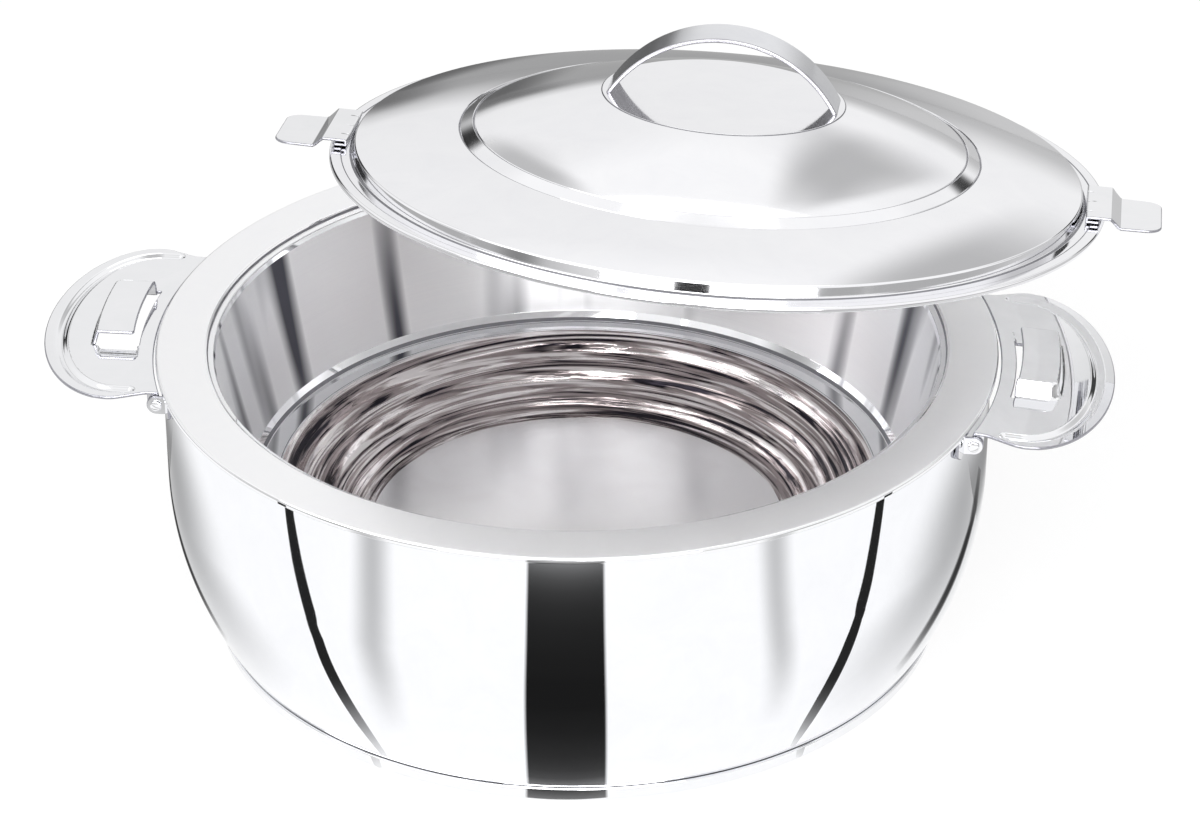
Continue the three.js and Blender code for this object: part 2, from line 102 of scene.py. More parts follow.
def sheetCorners(corners, thickness, edgeRound=0.35):
    # closed outline of sheet with one face on the line, its free ends rounded
    made = []
    for line in (corners, beside(corners, thickness)[::-1]):
        first, last = ((*p[:2], edgeRound if p[0] > onAxisBelow else 0) for p in (line[0], line[-1]))
        made += [first, *line[1:-1], last]
    return made


# meshes


def newPiece(name, data):
    piece = bpy.data.objects.new(name, data)
    bpy.context.scene.collection.objects.link(piece)
    return piece


def finishedMesh(name, points, faces, normals, materials, zones=None, place=None):
    mesh = bpy.data.meshes.new(name)
    at = place or Matrix.Identity(4)
    mesh.from_pydata([at @ (Vector(p) * mm) for p in points], [], faces)
    mesh.polygons.foreach_set("use_smooth", [True] * len(mesh.polygons))
    for material in materials:
        mesh.materials.append(material)
    if zones:
        mesh.polygons.foreach_set("material_index", zones)
    turn = at.to_3x3()
    mesh.normals_split_custom_set_from_vertices([turn @ Vector(n) for n in normals])
    return newPiece(name, mesh)


def turnedPiece(name, corners, materials, steelAt=None, sides=256, place=None):
    # corners start and end on the axis, or close on themselves; steelAt says which material a ring has
    onAxis = corners[0][0] < onAxisBelow
    area = sum(a[0] * b[1] - a[1] * b[0] for a, b in zip(corners, corners[1:] + corners[:1]))
    line = filleted(corners if area > 0 else corners[::-1], not onAxis)
    points, normals, faces, zones, rings = [], [], [], [], []
    turns = [2 * math.pi * i / sides for i in range(sides)]
    for x, z, nx, nz in line:
        if x < onAxisBelow:
            rings.append([len(points)] * sides)
            points.append((0, 0, z))
            normals.append((0, 0, math.copysign(1, nz)))
            continue
        rings.append(list(range(len(points), len(points) + sides)))
        points += [(x * math.cos(a), x * math.sin(a), z) for a in turns]
        normals += [(nx * math.cos(a), nx * math.sin(a), nz) for a in turns]
    count = len(rings)
    for i in range(count - 1 if onAxis else count):
        low, high = rings[i], rings[(i + 1) % count]
        (x0, z0, *n0), (x1, z1, *n1) = line[i], line[(i + 1) % count]
        steel = steelAt((x0 + x1) / 2, (z0 + z1) / 2, n0[1] + n1[1]) if steelAt else materials[0]
        zone = materials.index(steel)
        for j in range(sides):
            k = (j + 1) % sides
            corner = [low[j], low[k], high[k], high[j]]
            faces.append(list(dict.fromkeys(corner)))
            zones.append(zone)
    return finishedMesh(name, points, faces, normals, materials, zones, place)


def inside(points, loop):
    # which points lie in a closed loop
    x, y = points[:, 0], points[:, 1]
    found = np.zeros(len(points), bool)
    for (x0, y0), (x1, y1) in zip(loop, loop[1:] + loop[:1]):
        if y0 == y1:
            continue
        crosses = (y0 > y) != (y1 > y)
        found ^= crosses & (x < (x1 - x0) * (y - y0) / (y1 - y0) + x0)
    return found


def onSheet(points, loops):
    # within the first loop and outside the others, which are holes
    keep = inside(points, loops[0])
    for loop in loops[1:]:
        keep &= ~inside(points, loop)
    return keep


def dense(loop, spacing):
    made = []
    for a, b in zip(loop, loop[1:] + loop[:1]):
        steps = max(1, math.ceil(math.dist(a, b) / spacing))
        made += [(a[0] + (b[0] - a[0]) * i / steps, a[1] + (b[1] - a[1]) * i / steps)
                 for i in range(steps)]
    return made


sheetMesh = {"coarseStep": 4, "edgeMargin": 0.6, "edgeRows": 6}


def bentSheet(shape, outline, holes, thickness, spacing, fine=None, edge=0.35, probe=0.01):
    # shape(u, v) gives the upper face; a flat outline with holes is laid on it as sheet with round edges
    coarse = sheetMesh["coarseStep"]
    loops = [dense([p[:2] for p in loop], spacing) for loop in (outline, *holes)]
    near = kdtree.KDTree(sum(len(loop) for loop in loops))
    for i, p in enumerate(p for loop in loops for p in loop):
        near.insert((*p, 0), i)
    near.balance()
    low, high = np.min(loops[0], axis=0), np.max(loops[0], axis=0)
    counts = np.ceil((high - low) / spacing).astype(int)
    grid = [(low[0] + (i + 0.5 * (j % 2)) * spacing, low[1] + j * spacing)
            for i in range(counts[0] + 1) for j in range(counts[1] + 1)
            if not fine or (i % coarse == 0 and j % coarse == 0)
            or fine(low[0] + i * spacing, low[1] + j * spacing)]
    grid = np.array(grid)
    clear = sheetMesh["edgeMargin"] * spacing
    flat = [p for p in grid[onSheet(grid, loops)] if near.find((*p, 0))[2] > clear]
    edges, start = [], 0
    for loop in loops:
        edges += [(start + i, start + (i + 1) % len(loop)) for i in range(len(loop))]
        start += len(loop)
    whole = [Vector(p) for loop in loops for p in loop] + [Vector(p) for p in flat]
    plan, _, triangles, *_ = delaunay_2d_cdt(whole, edges, [], 0, 1e-6)
    middles = np.array([[sum(plan[i][k] for i in t) / 3 for k in (0, 1)] for t in triangles])
    triangles = [list(t) for t, kept in zip(triangles, onSheet(middles, loops)) if kept]
    for t in triangles:
        a, b, c = (plan[i] for i in t)
        if (b - a).cross(c - a) < 0:
            t.reverse()
    used = sorted({i for t in triangles for i in t})
    index = {old: new for new, old in enumerate(used)}
    triangles = [[index[i] for i in t] for t in triangles]
    top, upward = [], []
    for i in used:
        u, v = plan[i]
        along = Vector(shape(u + probe, v)) - Vector(shape(u - probe, v))
        across = Vector(shape(u, v + probe)) - Vector(shape(u, v - probe))
        top.append(Vector(shape(u, v)))
        upward.append(along.cross(across).normalized())
    under = [p - n * thickness for p, n in zip(top, upward)]
    count = len(top)
    points = top + under
    normals = upward + [-n for n in upward]
    faces = triangles + [[count + i for i in reversed(t)] for t in triangles]
    sides = {(t[i], t[(i + 1) % 3]) for t in triangles for i in range(3)}
    rim = {a: b for a, b in sides if (b, a) not in sides}
    behind = {b: a for a, b in rim.items()}
    rows = sheetMesh["edgeRows"]
    column = {}
    for i, ahead in rim.items():
        way = (top[ahead] - top[i]).normalized() + (top[i] - top[behind[i]]).normalized()
        out = way.cross(upward[i]).normalized()
        column[i] = [i]
        for row in range(1, rows):
            a = math.pi / 2 - math.pi * row / rows
            column[i].append(len(points))
            points.append(top[i] + upward[i] * thickness / 2 * (math.sin(a) - 1) + out * edge * math.cos(a))
            normals.append((upward[i] * math.sin(a) * edge + out * math.cos(a) * thickness / 2).normalized())
        column[i].append(count + i)
    for i, ahead in rim.items():
        a, b = column[i], column[ahead]
        faces += [[a[row], a[row + 1], b[row + 1], b[row]] for row in range(rows)]
    return points, faces, normals


def joined(parts):
    points, faces, normals = [], [], []
    for p, f, n in parts:
        faces += [[i + len(points) for i in face] for face in f]
        points += p
        normals += n
    return points, faces, normals


# materials


def linearShare(level):
    return level / 12.92 if level <= 0.04045 else ((level + 0.055) / 1.055) ** 2.4


def linear(code):
    # sRGB hex colour to the linear values that shaders take
    return [linearShare(int(code[i:i + 2], 16) / 255) for i in (1, 3, 5)] + [1]


def addNode(tree, kind, values=None, links=None, **settings):
    node = tree.nodes.new(kind)
    for key, value in settings.items():
        setattr(node, key, value)
    for key, value in (values or {}).items():
        node.inputs[key].default_value = value
    for key, source in (links or {}).items():
        tree.links.new(source, node.inputs[key])
    return node


def worked(tree, kind, operation, *inputs, result=0):
    # a Math or VectorMath node; each input is a fixed value or a link
    links = {i: value for i, value in enumerate(inputs) if isinstance(value, bpy.types.NodeSocket)}
    values = {i: value for i, value in enumerate(inputs) if i not in links}
    return addNode(tree, "ShaderNode" + kind, values, links, operation=operation).outputs[result]


def noiseAt(tree, place, scale, detail, roughness=0.5, distortion=0.0):
    values = {"Scale": scale, "Detail": detail, "Roughness": roughness, "Distortion": distortion}
    return addNode(tree, "ShaderNodeTexNoise", values, {"Vector": place}).outputs["Fac"]


def newMaterial(name):
    material = bpy.data.materials.new(name)
    material.use_nodes = True
    tree = material.node_tree
    tree.nodes.clear()
    return material, tree, addNode(tree, "ShaderNodeOutputMaterial")


def ramped(tree, source, stops):
    node = addNode(tree, "ShaderNodeValToRGB", links={"Fac": source})
    ramp = node.color_ramp
    while len(ramp.elements) < len(stops):
        ramp.elements.new(0.5)
    for element, (place, colour) in zip(ramp.elements, stops):
        element.position = place
        element.color = linear(colour)
    return node.outputs["Color"]


def glossFrom(tree, pattern, roughness, low, high):
    # from the first roughness to the second, as the pattern goes from low to high
    values = {"From Min": low, "From Max": high, "To Min": roughness[0], "To Max": roughness[1]}
    return addNode(tree, "ShaderNodeMapRange", values, {"Value": pattern}).outputs["Result"]


def finished(material, tree, output, values, links, bump):
    shader = addNode(tree, "ShaderNodeBsdfPrincipled", values, {**links, "Normal": bump})
    tree.links.new(shader.outputs["BSDF"], output.inputs["Surface"])
    return material


def bumped(tree, heights, strength, distance):
    return addNode(tree, "ShaderNodeBump", {"Strength": strength, "Distance": distance},
                   {"Height": heights}).outputs["Normal"]


def roundAxis(tree, look):
    # the place, the way to it from the axis, its distance and the way times a scale, for turned patterns
    place = addNode(tree, "ShaderNodeTexCoord").outputs["Object"]
    flat = worked(tree, "VectorMath", "MULTIPLY", place, (1, 1, 0))
    unit = worked(tree, "VectorMath", "NORMALIZE", flat)
    reach = worked(tree, "VectorMath", "LENGTH", flat, result="Value")
    return place, unit, reach, worked(tree, "VectorMath", "MULTIPLY", unit, (look["alongTurn"],) * 3)


def polishedSteel(name, colour, markColour, roughness, wavesPerMetre, waveStrength):
    # buffed sheet: a clear mirror whose faint waves and wipe marks give it away as thin steel
    material, tree, output = newMaterial(name)
    place = addNode(tree, "ShaderNodeTexCoord").outputs["Object"]
    marks = noiseAt(tree, place, 55, 6, 0.65, 0.6)
    links = {"Base Color": ramped(tree, marks, [(0.3, colour), (0.8, markColour)]),
             "Roughness": glossFrom(tree, marks, roughness, 0.35, 0.75)}
    bump = bumped(tree, noiseAt(tree, place, wavesPerMetre, 1), waveStrength, 0.001)
    return finished(material, tree, output, {"Metallic": 1.0}, links, bump)


def brushedSteel(name, look):
    # fine rings of a turned brush: they draw highlights out into soft streaks across them; broad dark streaks
    # are also painted into its colour as painted reflections
    material, tree, output = newMaterial(name)
    place, unit, reach, ring = roundAxis(tree, look)
    parts = addNode(tree, "ShaderNodeSeparateXYZ", links={"Vector": place}).outputs
    level = worked(tree, "Math", "ADD", parts["Z"], reach)
    lines = worked(tree, "Math", "MULTIPLY", level, look["linesPerMetre"])
    line = addNode(tree, "ShaderNodeCombineXYZ", links={"Z": lines}).outputs[0]
    brush = noiseAt(tree, worked(tree, "VectorMath", "ADD", ring, line), 1, 3, 0.6)
    fine = ramped(tree, brush, [(0.25, look["lineColour"]), (0.7, look["colour"])])
    sweep = worked(tree, "VectorMath", "MULTIPLY", unit, (look["streaksPerTurn"],) * 3)
    climb = worked(tree, "VectorMath", "MULTIPLY", place, (0, 0, look["streaksPerMetreUp"]))
    streaks = noiseAt(tree, worked(tree, "VectorMath", "ADD", sweep, climb), 1, 1.5, 0.45)
    # painted reflection: the streak noise darkens the colour in soft vertical bands, as if dark things were
    # mirrored in the wall
    streakReflections = ramped(tree, streaks, [(0.3, look["paintedReflectionStreakColour"]), (0.44, "#ffffff")])
    colour = worked(tree, "VectorMath", "MULTIPLY", fine, streakReflections)
    gloss = glossFrom(tree, brush, look["roughness"], 0.3, 0.7)
    heights = worked(tree, "Math", "MULTIPLY_ADD", streaks, look["streakHeight"], brush)
    bump = bumped(tree, heights, look["lineStrength"], 0.0002)
    around = addNode(tree, "ShaderNodeTangent", direction_type="RADIAL", axis="Z").outputs["Tangent"]
    values = {"Metallic": 1.0, "Anisotropic": look["anisotropy"], "Anisotropic Rotation": 0.25}
    links = {"Base Color": colour, "Roughness": gloss, "Tangent": around}
    return finished(material, tree, output, values, links, bump)


def spunSteel(name, look):
    # sheet pressed over a turning former: long ripples run round it and bend what it mirrors; dark and
    # purplish bands along the ripples are painted into its colour as painted reflections
    material, tree, output = newMaterial(name)
    _, _, reach, ring = roundAxis(tree, look)
    out = worked(tree, "Math", "MULTIPLY", reach, look["wavesPerMetre"])
    step = addNode(tree, "ShaderNodeCombineXYZ", links={"Z": out}).outputs[0]
    ripples = noiseAt(tree, worked(tree, "VectorMath", "ADD", ring, step), 1, 4, 0.55, 1.6)
    # painted reflection: the ripples darken the colour in bands to near black and purplish grey
    colour = ramped(tree, ripples, [(0.39, look["paintedReflectionDark"]), (0.46, look["paintedReflectionTint"]),
                                     (0.5, look["paintedReflectionTint"]), (0.57, look["colour"])])
    gloss = glossFrom(tree, ripples, look["roughness"], 0.3, 0.7)
    bump = bumped(tree, ripples, look["waveStrength"], 0.001)
    links = {"Base Color": colour, "Roughness": gloss}
    return finished(material, tree, output, {"Metallic": 1.0}, links, bump)


def rigidFoam(name):
    # poured foam: cream, dull, full of small cells
    material, tree, output = newMaterial(name)
    place = addNode(tree, "ShaderNodeTexCoord").outputs["Object"]
    cells = addNode(tree, "ShaderNodeTexVoronoi", {"Scale": 900.0}, {"Vector": place}).outputs["Distance"]
    colour = ramped(tree, noiseAt(tree, place, 30, 4), [(0.3, "#e3d5a2"), (0.7, "#efe3bd")])
    bump = bumped(tree, cells, 0.5, 0.0005)
    return finished(material, tree, output, {"Roughness": 0.9}, {"Base Color": colour}, bump)


mirror = polishedSteel("PolishedStainlessSteel", "#f6f6f8", "#f0f1f3", (0.02, 0.05), 22.0, 0.05)
# the outer wall: it mirrors the room almost without a ripple
clearMirror = polishedSteel("ClearPolishedStainlessSteel", "#f6f7fa", "#f2f3f6", (0.015, 0.035), 14.0, 0.03)
# its streak colour is a painted reflection: dark bands painted into the inner wall
brushed = brushedSteel("BrushedStainlessSteel", {
    "colour": "#fefeff", "lineColour": "#fafafc", "roughness": (0.4, 0.48), "anisotropy": 0.9,
    "alongTurn": 3.0, "linesPerMetre": 2600.0, "lineStrength": 0.1,
    "streaksPerTurn": 5.5, "streaksPerMetreUp": 4, "paintedReflectionStreakColour": "#5a5a61", "streakHeight": 4.0,
})
lidMirror = polishedSteel("LidPolishedStainlessSteel", "#f9f9fb", "#f4f4f7", (0.05, 0.09), 12.0, 0.02)
# satin: what it mirrors is a pale blur
rimSteel = polishedSteel("RimSatinStainlessSteel", "#fcfcfd", "#f8f8fa", (0.28, 0.34), 22.0, 0.02)
# its dark and purplish colours are painted reflections in the ripples
spun = spunSteel("SpunStainlessSteel", {
    "colour": "#f3eeee", "paintedReflectionTint": "#a59a9a", "paintedReflectionDark": "#2c2930", "roughness": (0.02, 0.04),
    "alongTurn": 0.9, "wavesPerMetre": 300.0, "waveStrength": 0.5,
})
# worn by washing up: soft swirls, no clear image
floorSteel = polishedSteel("BowlFloorPolishedStainlessSteel", "#fffeff", "#fcfafb", (0.2, 0.28), 26.0, 0.12)
underSteel = polishedSteel("LidLinerSatinStainlessSteel", "#fefefe", "#fafafa", (0.85, 0.95), 45.0, 0.1)
# painted shade: dull dark grey steel draws the creases as fine dark lines; the cut edges are a duller grey
# steel, drawn as fine lines too
paintedCreaseShade = polishedSteel("CreasePaintedShadeSteel", "#96969b", "#7f7f85", (0.3, 0.4), 60.0, 0.05)
cutEdge = polishedSteel("CutEdgeStainlessSteel", "#b4b4ba", "#9c9ca4", (0.22, 0.34), 200.0, 0.2)
foam = rigidFoam("RigidFoam")
print("materials made")


def cutPiece(name, part, place):
    # mirror sheet whose narrow cut edges, the faces with four corners, are duller
    zones = [1 if len(face) == 4 else 0 for face in part[1]]
    return finishedMesh(name, *part, [mirror, cutEdge], zones, place)


# the bowl, in mm; steps are (out, up, corner radius)

bowl = {
    "sheet": 1, "body": 142.6, "rim": 145, "rimHeight": 106.0, "mouth": 124.7, "lip": 3.4, "rimFall": 1,
    "knee": 62, "tuckIn": 18.8, "tuckExponent": 2.1, "seam": 5.8, "opening": 100, "seamRound": 1.3,
    "ledge": 113, "ledgeHeight": 50.98, "ledgeWidth": 8, "floor": 77, "floorHeight": 31.5, "foot": 127.2,
    "shellGap": 0.45, "sides": 320,
}
linerForm = {
    "crownSteps": [(0, 0.3, 0), (40, 0.2, 200)],  # from the middle of the floor
    "floorEdge": 4, "floorRound": 3, "waveRound": 5, "cavityRound": 2.2,
    "ledgeSteps": [(-1.2, -0.3, 0.5), (0, 0.6, 0.6), (1.4, 3, 1.2)],  # from the foot of the wall
    "mouthSteps": [(-0.2, -2.6, 1.6), (0.5, -0.7, 0.7), (2.2, -0.35, 0.5), (2.6, 0.55, 0.4)],
    "lipRound": 0.8, "rimRound": 0.9, "rimEdge": 2, "wallFoot": 3, "margin": 0.1, "ledgeFace": 0.5,
}
# the steps of the lower inside, as shares of its width and height
waveShares = [(0.08, 0.04), (0.2, 0.25), (0.38, 0.34), (0.5, 0.58), (0.7, 0.67), (0.82, 0.92)]


def stepsFrom(x, z, steps):
    return [(x + out, z + up, radius) for out, up, radius in steps]


def makeLiner():
    form = linerForm
    ledge, mouth, rim, floor = bowl["ledge"], bowl["mouth"], bowl["rim"], bowl["floor"]
    ledgeHeight, top, low = bowl["ledgeHeight"], bowl["rimHeight"], bowl["floorHeight"]
    cavity, rimStart, floorEdge = ledge - bowl["ledgeWidth"], mouth + bowl["lip"], floor - form["floorEdge"]
    line = stepsFrom(0, low, form["crownSteps"]) + [(floorEdge, low, 0), (floor, low, form["floorRound"])]
    line += [(floor + outwards * (cavity - floor), low + upwards * (ledgeHeight - low), form["waveRound"])
             for outwards, upwards in waveShares]
    line.append((cavity, ledgeHeight, form["cavityRound"]))
    line += stepsFrom(ledge, ledgeHeight, form["ledgeSteps"])
    line += stepsFrom(mouth, top - bowl["rimFall"], form["mouthSteps"])
    line += [(rimStart, top, form["lipRound"]), (rim, top, form["rimRound"]), (rim, top - form["rimEdge"], 0)]
    # rings of painted shade in the creases: radius, half width, height, half height
    creases = [(ledge, 0.7, ledgeHeight, 1.5), (mouth + 2.4, 0.4, top, 1.2),
               (cavity + 0.4, 0.35, ledgeHeight, 5)]

    def steelAt(radius, height, lean):
        for ringRadius, halfWidth, ringHeight, halfHeight in creases:
            # painted shade: the crease rings get the dark grey crease steel
            if abs(radius - ringRadius) < halfWidth and abs(height - ringHeight) < halfHeight:
                return paintedCreaseShade
        if radius < floorEdge:
            return floorSteel
        if height < ledgeHeight - form["ledgeFace"] and radius < cavity:
            return spun
        if height > top - form["margin"] and radius > rimStart:
            return rimSteel
        return brushed if height > ledgeHeight + form["wallFoot"] and radius < mouth else mirror

    steels = [mirror, brushed, spun, floorSteel, rimSteel, paintedCreaseShade]
    return turnedPiece("liner", sheetCorners(line, bowl["sheet"]), steels, steelAt, bowl["sides"])


def shellRadius(height):
    below = max(bowl["knee"] - height, 0) / bowl["knee"]
    return bowl["body"] - bowl["tuckIn"] * below ** bowl["tuckExponent"]


def makeShell():
    line = [(bowl["body"], bowl["rimHeight"] - bowl["sheet"] - bowl["shellGap"], 0)]
    steps = 40
    for i in range(steps):
        height = bowl["knee"] + (bowl["seam"] - bowl["knee"]) * i / steps
        line.append((shellRadius(height), height, 0))
    line += [(shellRadius(bowl["seam"]), bowl["seam"], bowl["seamRound"]), (bowl["opening"], bowl["seam"], 0)]
    return turnedPiece("outerWall", sheetCorners(line, bowl["sheet"]), [clearMirror], sides=bowl["sides"])


baseForm = {
    "ring": [(46, 0, 0.6), (46.8, 0.5, 0.5), (52.2, 0.5, 0.5), (53, 0, 0.6)],  # pressed into the underside
    "band": [(-0.2, 0, 2.2), (0.9, 5.5, 0.3)],  # from the foot
    "edge": 0.3, "brushedWithin": 4,
}


def makeBase():
    line = [(0, 0, 0)] + baseForm["ring"] + stepsFrom(bowl["foot"], 0, baseForm["band"])

    def steelAt(radius, height, lean):
        return brushed if radius < bowl["foot"] - baseForm["brushedWithin"] else mirror

    corners = sheetCorners(line, -bowl["sheet"], baseForm["edge"])
    return turnedPiece("baseCover", corners, [mirror, brushed], steelAt)


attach(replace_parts(makeLiner(), "inner_liner"), "bowl")
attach(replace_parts(makeShell(), "outer_shell"), "bowl")
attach(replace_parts(makeBase(), "base_cover"), "bowl")
print("bowl made")

# the side handles, in mm

handle = {
    "sheet": 1.2, "plateTop": 104.0, "pivot": 138.0, "pivotHeight": 99.7, "reach": 184.8, "halfWidth": 54,
    "neck": 49.1, "neckEnd": 142, "neckRound": 6, "arcCentre": 153.3, "arcRound": 14, "inner": 145.6,
    "edge": 0.4, "cutHalf": 0.35,
    "grooveInset": 6, "grooveHalf": 2.5, "grooveDepth": 1.15, "grooveStart": 148, "grooveMargin": 1.2,
    "bridgeNear": 152.6, "bridgeFar": 165, "bridgeHalf": 18.5, "bridgeRise": 5.737, "bridgeRound": 2,
    "slope": 2.5, "bridgeRoot": 0.7, "slotNear": 150.6, "rampLength": 7.5, "rampDepth": 1.3, "rampFlat": 0.8,
    "rampSides": (0.3, 0.2), "droop": 5.3, "spacing": 0.5,
    "bentArea": (149, 169, -24, 28), "flatArea": (155, 161.5, -14, 16),  # radius from, to, y from, to
}
ears = {"reach": 3, "back": 0.3, "waist": 0.6, "waistRise": 1.2, "waistRound": 1.5, "sunk": 0.5, "trim": 0.1}
lugs = {"hole": 1.8, "spacing": 0.8, "edge": 0.3, "gap": 0.3, "sheet": 1.2}


def smooth(t):
    t = min(max(t, 0), 1)
    return t * t * (3 - 2 * t)


def grooveAway(x, y):
    # distance from the middle of the stamped groove
    a = handle["reach"] - handle["arcCentre"] - handle["grooveInset"]
    b = handle["halfWidth"] - handle["grooveInset"]
    if x > handle["arcCentre"]:
        dx = x - handle["arcCentre"]
        level = (dx / a) ** 2 + (y / b) ** 2 - 1
        return abs(level) / (2 * math.sqrt((dx / a ** 2) ** 2 + (y / b ** 2) ** 2) + 1e-9)
    return math.hypot(max(handle["grooveStart"] - x, 0), abs(y) - b)


def grooveDrop(x, y):
    share = min(grooveAway(x, y) / handle["grooveHalf"], 1)
    return handle["grooveDepth"] * 0.5 * (1 + math.cos(math.pi * share))


def bridgeLift(x, y):
    # the bridge is open towards the bowl and at its back end
    radius = math.hypot(x, y)
    corner = handle["bridgeRound"]
    dx = radius - handle["bridgeFar"] + corner
    dy = -handle["bridgeHalf"] + corner - y
    outside = math.hypot(max(dx, 0), max(dy, 0)) + min(max(dx, dy), 0) - corner
    return handle["bridgeRise"] * smooth(1 - outside / handle["slope"])


def rampDrop(x, y):
    radius = math.hypot(x, y)
    down = (handle["bridgeHalf"] + handle["rampLength"] - y) / (handle["rampLength"] - handle["rampFlat"])
    near, far = handle["rampSides"]
    sides = min(radius - handle["slotNear"] - near, handle["bridgeFar"] + far - radius)
    return handle["rampDepth"] * smooth(min(down, 1) if sides > 1 else min(down, sides))


def plateShape(x, y):
    height = handle["plateTop"] - grooveDrop(x, y)
    radius = math.hypot(x, y)
    if y > handle["bridgeHalf"]:
        height -= rampDrop(x, y)
    elif radius > handle["bridgeNear"] - handle["bridgeRoot"]:
        height += bridgeLift(x, y)
    return (x, y, height)


def plateOutline():
    trim = handle["edge"]
    neck, half = handle["neck"] - trim, handle["halfWidth"] - trim
    inner = handle["inner"] + trim
    swing = math.asin(neck / inner)
    loop = [(inner * math.cos(a), inner * math.sin(a), 0) for a in np.linspace(swing, -swing, 61)]
    centre, depth = handle["arcCentre"], handle["reach"] - handle["arcCentre"] - trim
    loop += [(handle["neckEnd"], -neck, handle["neckRound"]), (centre, -half, handle["arcRound"])]
    steps, skipped = 80, 5
    for i in range(skipped, steps - skipped + 1):
        a = -math.pi / 2 + math.pi * i / steps
        loop.append((centre + depth * math.cos(a), half * math.sin(a), 0))
    loop += [(centre, half, handle["arcRound"]), (handle["neckEnd"], neck, handle["neckRound"])]
    return filleted(loop, True)


def slotHole():
    # a strip beside the bridge, then a narrow cut under its open end
    near, far, half = handle["slotNear"], handle["bridgeNear"], handle["bridgeHalf"]
    foot = -half - handle["slope"]
    cut = handle["cutHalf"]

    def at(radius, y, corner=0):
        return (math.sqrt(radius ** 2 - y ** 2), y, corner)

    cutEnd = handle["bridgeFar"] + handle["slope"] - handle["edge"]
    loop = [at(near, foot - 1.4, 0.9), at(far + 0.2, foot - 1.0, 0.6), at(far - 0.5, foot + 1.5, 1.5)]
    loop += [at(far, y) for y in np.linspace(foot + 3.5, half - 2.5, 12)]
    loop += [at(far, half - cut - 0.1, 1.6), at(cutEnd, half - cut, 0.2), at(cutEnd, half + cut, 0.2)]
    loop += [at(near + 1.2, half + cut + 0.1, 0.8), at(near, half - 1.2, 0.8)]
    loop += [at(near, y) for y in np.linspace(half - 2.5, foot + 1, 12)]
    return filleted(loop, True)


def flatLug(y, outline, thickness):
    hole = circle(handle["pivot"], handle["pivotHeight"], lugs["hole"])
    return bentSheet(lambda u, v: (u, y, v), outline, [hole], thickness, lugs["spacing"], edge=lugs["edge"])


def arc(x, z, radius, start, turn, steps):
    angles = [start + turn * i / steps for i in range(steps + 1)]
    return [(x + radius * math.cos(a), z + radius * math.sin(a), 0) for a in angles]


def circle(x, z, radius, steps=32):
    return arc(x, z, radius, 0, math.tau, steps)[:-1]


def earLoop():
    x, z = handle["pivot"], handle["pivotHeight"]
    top = handle["plateTop"] - ears["sunk"]
    loop = arc(x, z, ears["reach"], math.pi, math.pi, 20)
    loop += [(x + ears["reach"], top, 0), (x - ears["back"], top, 0),
             (x - ears["back"] - ears["waist"], z + ears["waistRise"], ears["waistRound"])]
    return filleted(loop, True)


def handlePlate():
    def busy(x, y):
        # where the plate bends, and so needs its finest mesh
        def within(area):
            near, far, front, back = handle[area]
            return near < math.hypot(x, y) < far and front < y < back

        nearGroove = grooveAway(x, y) < handle["grooveHalf"] + handle["grooveMargin"]
        return (within("bentArea") and not within("flatArea")) or nearGroove

    parts = [bentSheet(plateShape, plateOutline(), [slotHole()], handle["sheet"], handle["spacing"], busy,
                       handle["edge"])]
    for y in (-handle["neck"], handle["neck"] - handle["sheet"]):
        parts.append(flatLug(y + ears["trim"] / 2, earLoop(), handle["sheet"] - ears["trim"]))
    return joined(parts)


bracketForm = {"root": 0.3, "rootRound": 0.4, "half": 2.5, "top": 103.1, "bottom": 97.4, "point": 1.7,
               "topRound": 0.8, "shoulderRound": 1.2, "aside": 2.8, "spacing": 0.6}


def bracketParts():
    form = bracketForm
    wall = bowl["body"] + lugs["gap"]
    face = handle["neck"] + lugs["gap"]
    root = math.sqrt(wall ** 2 - face ** 2) + form["root"]
    x, z, reach = handle["pivot"], handle["pivotHeight"], ears["reach"]
    lug = arc(x, z, reach, -math.pi / 2, math.pi, 20)
    lug += [(root, z + reach, form["rootRound"]), (root, z - reach, form["rootRound"])]
    parts = [flatLug(face, filleted(lug, True), lugs["sheet"])]
    half, top, bottom = form["half"], form["top"], form["bottom"]
    plate = [(-half, top, form["topRound"]), (-half, bottom, form["shoulderRound"]),
             (0, bottom - form["point"], form["topRound"]), (half, bottom, form["shoulderRound"]),
             (half, top, form["topRound"])]
    towards = math.asin((face + form["aside"]) / wall)
    outer = wall + lugs["sheet"]

    def onWall(u, v):
        a = towards + u / outer
        return (outer * math.cos(a), outer * math.sin(a), v)

    loop = filleted(plate, True)
    parts.append(bentSheet(onWall, loop, [], lugs["sheet"], form["spacing"], edge=lugs["edge"]))
    return joined(parts)


rivet = {"tailSteps": [(0, -0.7, 0), (1.75, -0.65, 0.4), (1.9, 0, 0.15), (1.3, 0, 0.15)],
         "headSteps": [(1.3, 0, 0.15), (2.0, 0, 0.15), (1.85, 0.5, 0.5), (0, 0.9, 0)], "sides": 40}


def rivetCorners():
    tail = handle["neck"] - handle["sheet"] - lugs["gap"]
    head = handle["neck"] + lugs["gap"] + lugs["sheet"] + lugs["gap"]
    return stepsFrom(0, tail, rivet["tailSteps"]) + stepsFrom(0, head, rivet["headSteps"])


def mirrored(part):
    points, faces, normals = part
    flip = Vector((1, -1, 1))
    points, normals = ([flip * Vector(vector) for vector in vectors] for vectors in (points, normals))
    return points, [face[::-1] for face in faces], normals


